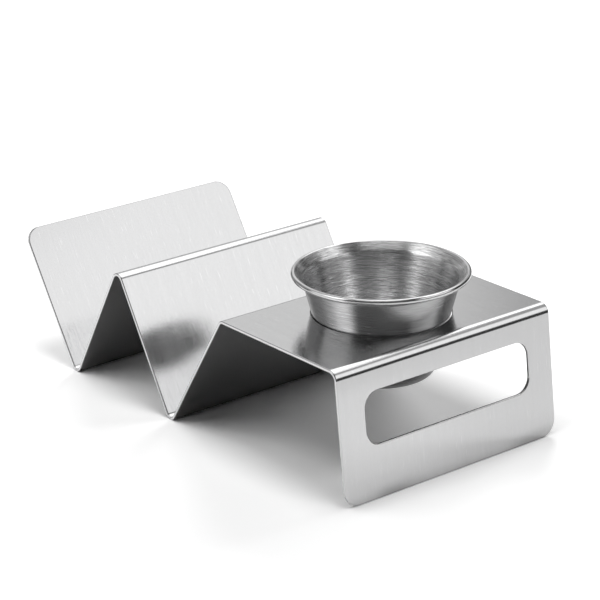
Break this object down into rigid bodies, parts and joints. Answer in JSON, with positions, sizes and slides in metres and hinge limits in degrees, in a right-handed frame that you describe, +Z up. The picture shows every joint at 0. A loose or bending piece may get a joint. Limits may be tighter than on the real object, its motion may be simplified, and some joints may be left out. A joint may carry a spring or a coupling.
{
  "type": "taco holder",
  "caption": "Folded sheet steel stand with open troughs for tacos and a level deck whose round hole carries a flared sauce cup, over a foot panel with a hand slot.",
  "frame": {"origin": "on the table, under the middle of the holder's length and width", "axes": "+X along the holder from the free end wall past the troughs to the foot panel, +Y along the folds, +Z up"},
  "size_m": [0.1998, 0.1, 0.0655],
  "materials": {
    "stand_sheet": "fine satin brushed stainless sheet, brushed from the wall to the foot",
    "cup_sheet": "satin stainless, brushed round the axis, with a brighter rolled rim"
  },
  "bodies": {
    "root": {"folded_stand": "stand_sheet", "sauce_cup": "cup_sheet"}
  },
  "joints": []
}
